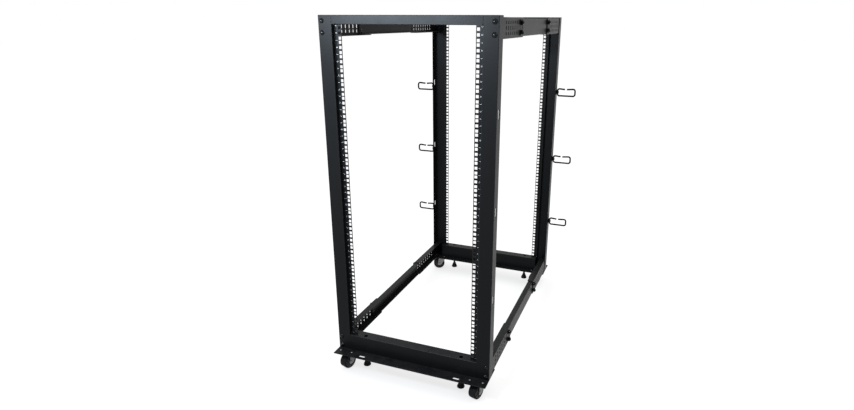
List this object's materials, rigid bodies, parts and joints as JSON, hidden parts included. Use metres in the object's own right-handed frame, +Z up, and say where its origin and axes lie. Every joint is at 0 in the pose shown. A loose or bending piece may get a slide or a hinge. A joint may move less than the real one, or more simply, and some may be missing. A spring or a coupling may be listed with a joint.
{
  "type": "four post open frame rack",
  "caption": "Open frame steel equipment rack on swivel casters, with perforated corner posts, slotted telescoping side rails, levelling feet and cable hooks.",
  "frame": {"origin": "on the floor, at the centre of the overall footprint", "axes": "+Z up, -Y towards the front of the rack, +X to the right seen from the front"},
  "size_m": [0.776, 1.078, 1.289],
  "materials": {
    "powder_coat": "fine textured black powder coat",
    "hook_coat": "black coated wire",
    "zinc_steel": "zinc plated",
    "wheel_rubber": "satin",
    "foot_black": "moulded black"
  },
  "bodies": {
    "frame": {"front_left_post": "powder_coat", "front_right_post": "powder_coat", "front_top_bar": "powder_coat", "front_base_bar": "powder_coat", "front_base_plate": "powder_coat", "rear_left_post": "powder_coat", "rear_right_post": "powder_coat", "rear_top_bar": "powder_coat", "rear_base_bar": "powder_coat", "rear_base_plate": "powder_coat", "left_bottom_front_bracket": "powder_coat", "left_bottom_middle_rail": "powder_coat", "left_bottom_rear_bracket": "powder_coat", "left_top_front_bracket": "powder_coat", "left_top_middle_rail": "powder_coat", "left_top_rear_bracket": "powder_coat", "left_cable_hook_1": "hook_coat", "left_cable_hook_2": "hook_coat", "left_cable_hook_3": "hook_coat", "right_bottom_front_bracket": "powder_coat", "right_bottom_middle_rail": "powder_coat", "right_bottom_rear_bracket": "powder_coat", "right_top_front_bracket": "powder_coat", "right_top_middle_rail": "powder_coat", "right_top_rear_bracket": "powder_coat", "right_cable_hook_1": "hook_coat", "right_cable_hook_2": "hook_coat", "right_cable_hook_3": "hook_coat", "front_left_caster_plate": "zinc_steel", "front_right_caster_plate": "zinc_steel", "rear_left_caster_plate": "zinc_steel", "rear_right_caster_plate": "zinc_steel"},
    "front_left_fork": {"front_left_caster_fork": "zinc_steel"},
    "front_left_wheel": {"front_left_caster_wheel": "wheel_rubber"},
    "front_left_foot": {"front_left_levelling_foot": "foot_black"},
    "front_right_fork": {"front_right_caster_fork": "zinc_steel"},
    "front_right_wheel": {"front_right_caster_wheel": "wheel_rubber"},
    "front_right_foot": {"front_right_levelling_foot": "foot_black"},
    "rear_left_fork": {"rear_left_caster_fork": "zinc_steel"},
    "rear_left_wheel": {"rear_left_caster_wheel": "wheel_rubber"},
    "rear_left_foot": {"rear_left_levelling_foot": "foot_black"},
    "rear_right_fork": {"rear_right_caster_fork": "zinc_steel"},
    "rear_right_wheel": {"rear_right_caster_wheel": "wheel_rubber"},
    "rear_right_foot": {"rear_right_levelling_foot": "foot_black"}
  },
  "joints": [
    {"name": "front_left_swivel", "type": "hinge", "parent": "frame", "child": "front_left_fork", "pos_m": [-0.2595, -0.48, 0.065], "axis": [0, 0, 1], "continuous": true},
    {"name": "front_left_wheel_spin", "type": "hinge", "parent": "front_left_fork", "child": "front_left_wheel", "pos_m": [-0.26476, -0.49721, 0.0285], "axis": [0.9563, -0.2924, 0], "continuous": true},
    {"name": "front_left_foot_screw", "type": "slide", "parent": "frame", "child": "front_left_foot", "axis": [0, 0, 1], "range_m": [-0.02, 0.02]},
    {"name": "front_right_swivel", "type": "hinge", "parent": "frame", "child": "front_right_fork", "pos_m": [0.2595, -0.48, 0.065], "axis": [0, 0, 1], "continuous": true},
    {"name": "front_right_wheel_spin", "type": "hinge", "parent": "front_right_fork", "child": "front_right_wheel", "pos_m": [0.25424, -0.49721, 0.0285], "axis": [0.9563, -0.2924, 0], "continuous": true},
    {"name": "front_right_foot_screw", "type": "slide", "parent": "frame", "child": "front_right_foot", "axis": [0, 0, 1], "range_m": [-0.02, 0.02]},
    {"name": "rear_left_swivel", "type": "hinge", "parent": "frame", "child": "rear_left_fork", "pos_m": [-0.2595, 0.48, 0.065], "axis": [0, 0, 1], "continuous": true},
    {"name": "rear_left_wheel_spin", "type": "hinge", "parent": "rear_left_fork", "child": "rear_left_wheel", "pos_m": [-0.27619, 0.47326, 0.0285], "axis": [0.3746, -0.9272, 0], "continuous": true},
    {"name": "rear_left_foot_screw", "type": "slide", "parent": "frame", "child": "rear_left_foot", "axis": [0, 0, 1], "range_m": [-0.02, 0.02]},
    {"name": "rear_right_swivel", "type": "hinge", "parent": "frame", "child": "rear_right_fork", "pos_m": [0.2595, 0.48, 0.065], "axis": [0, 0, 1], "continuous": true},
    {"name": "rear_right_wheel_spin", "type": "hinge", "parent": "rear_right_fork", "child": "rear_right_wheel", "pos_m": [0.24918, 0.46525, 0.0285], "axis": [0.8192, -0.5736, 0], "continuous": true},
    {"name": "rear_right_foot_screw", "type": "slide", "parent": "frame", "child": "rear_right_foot", "axis": [0, 0, 1], "range_m": [-0.02, 0.02]}
  ]
}
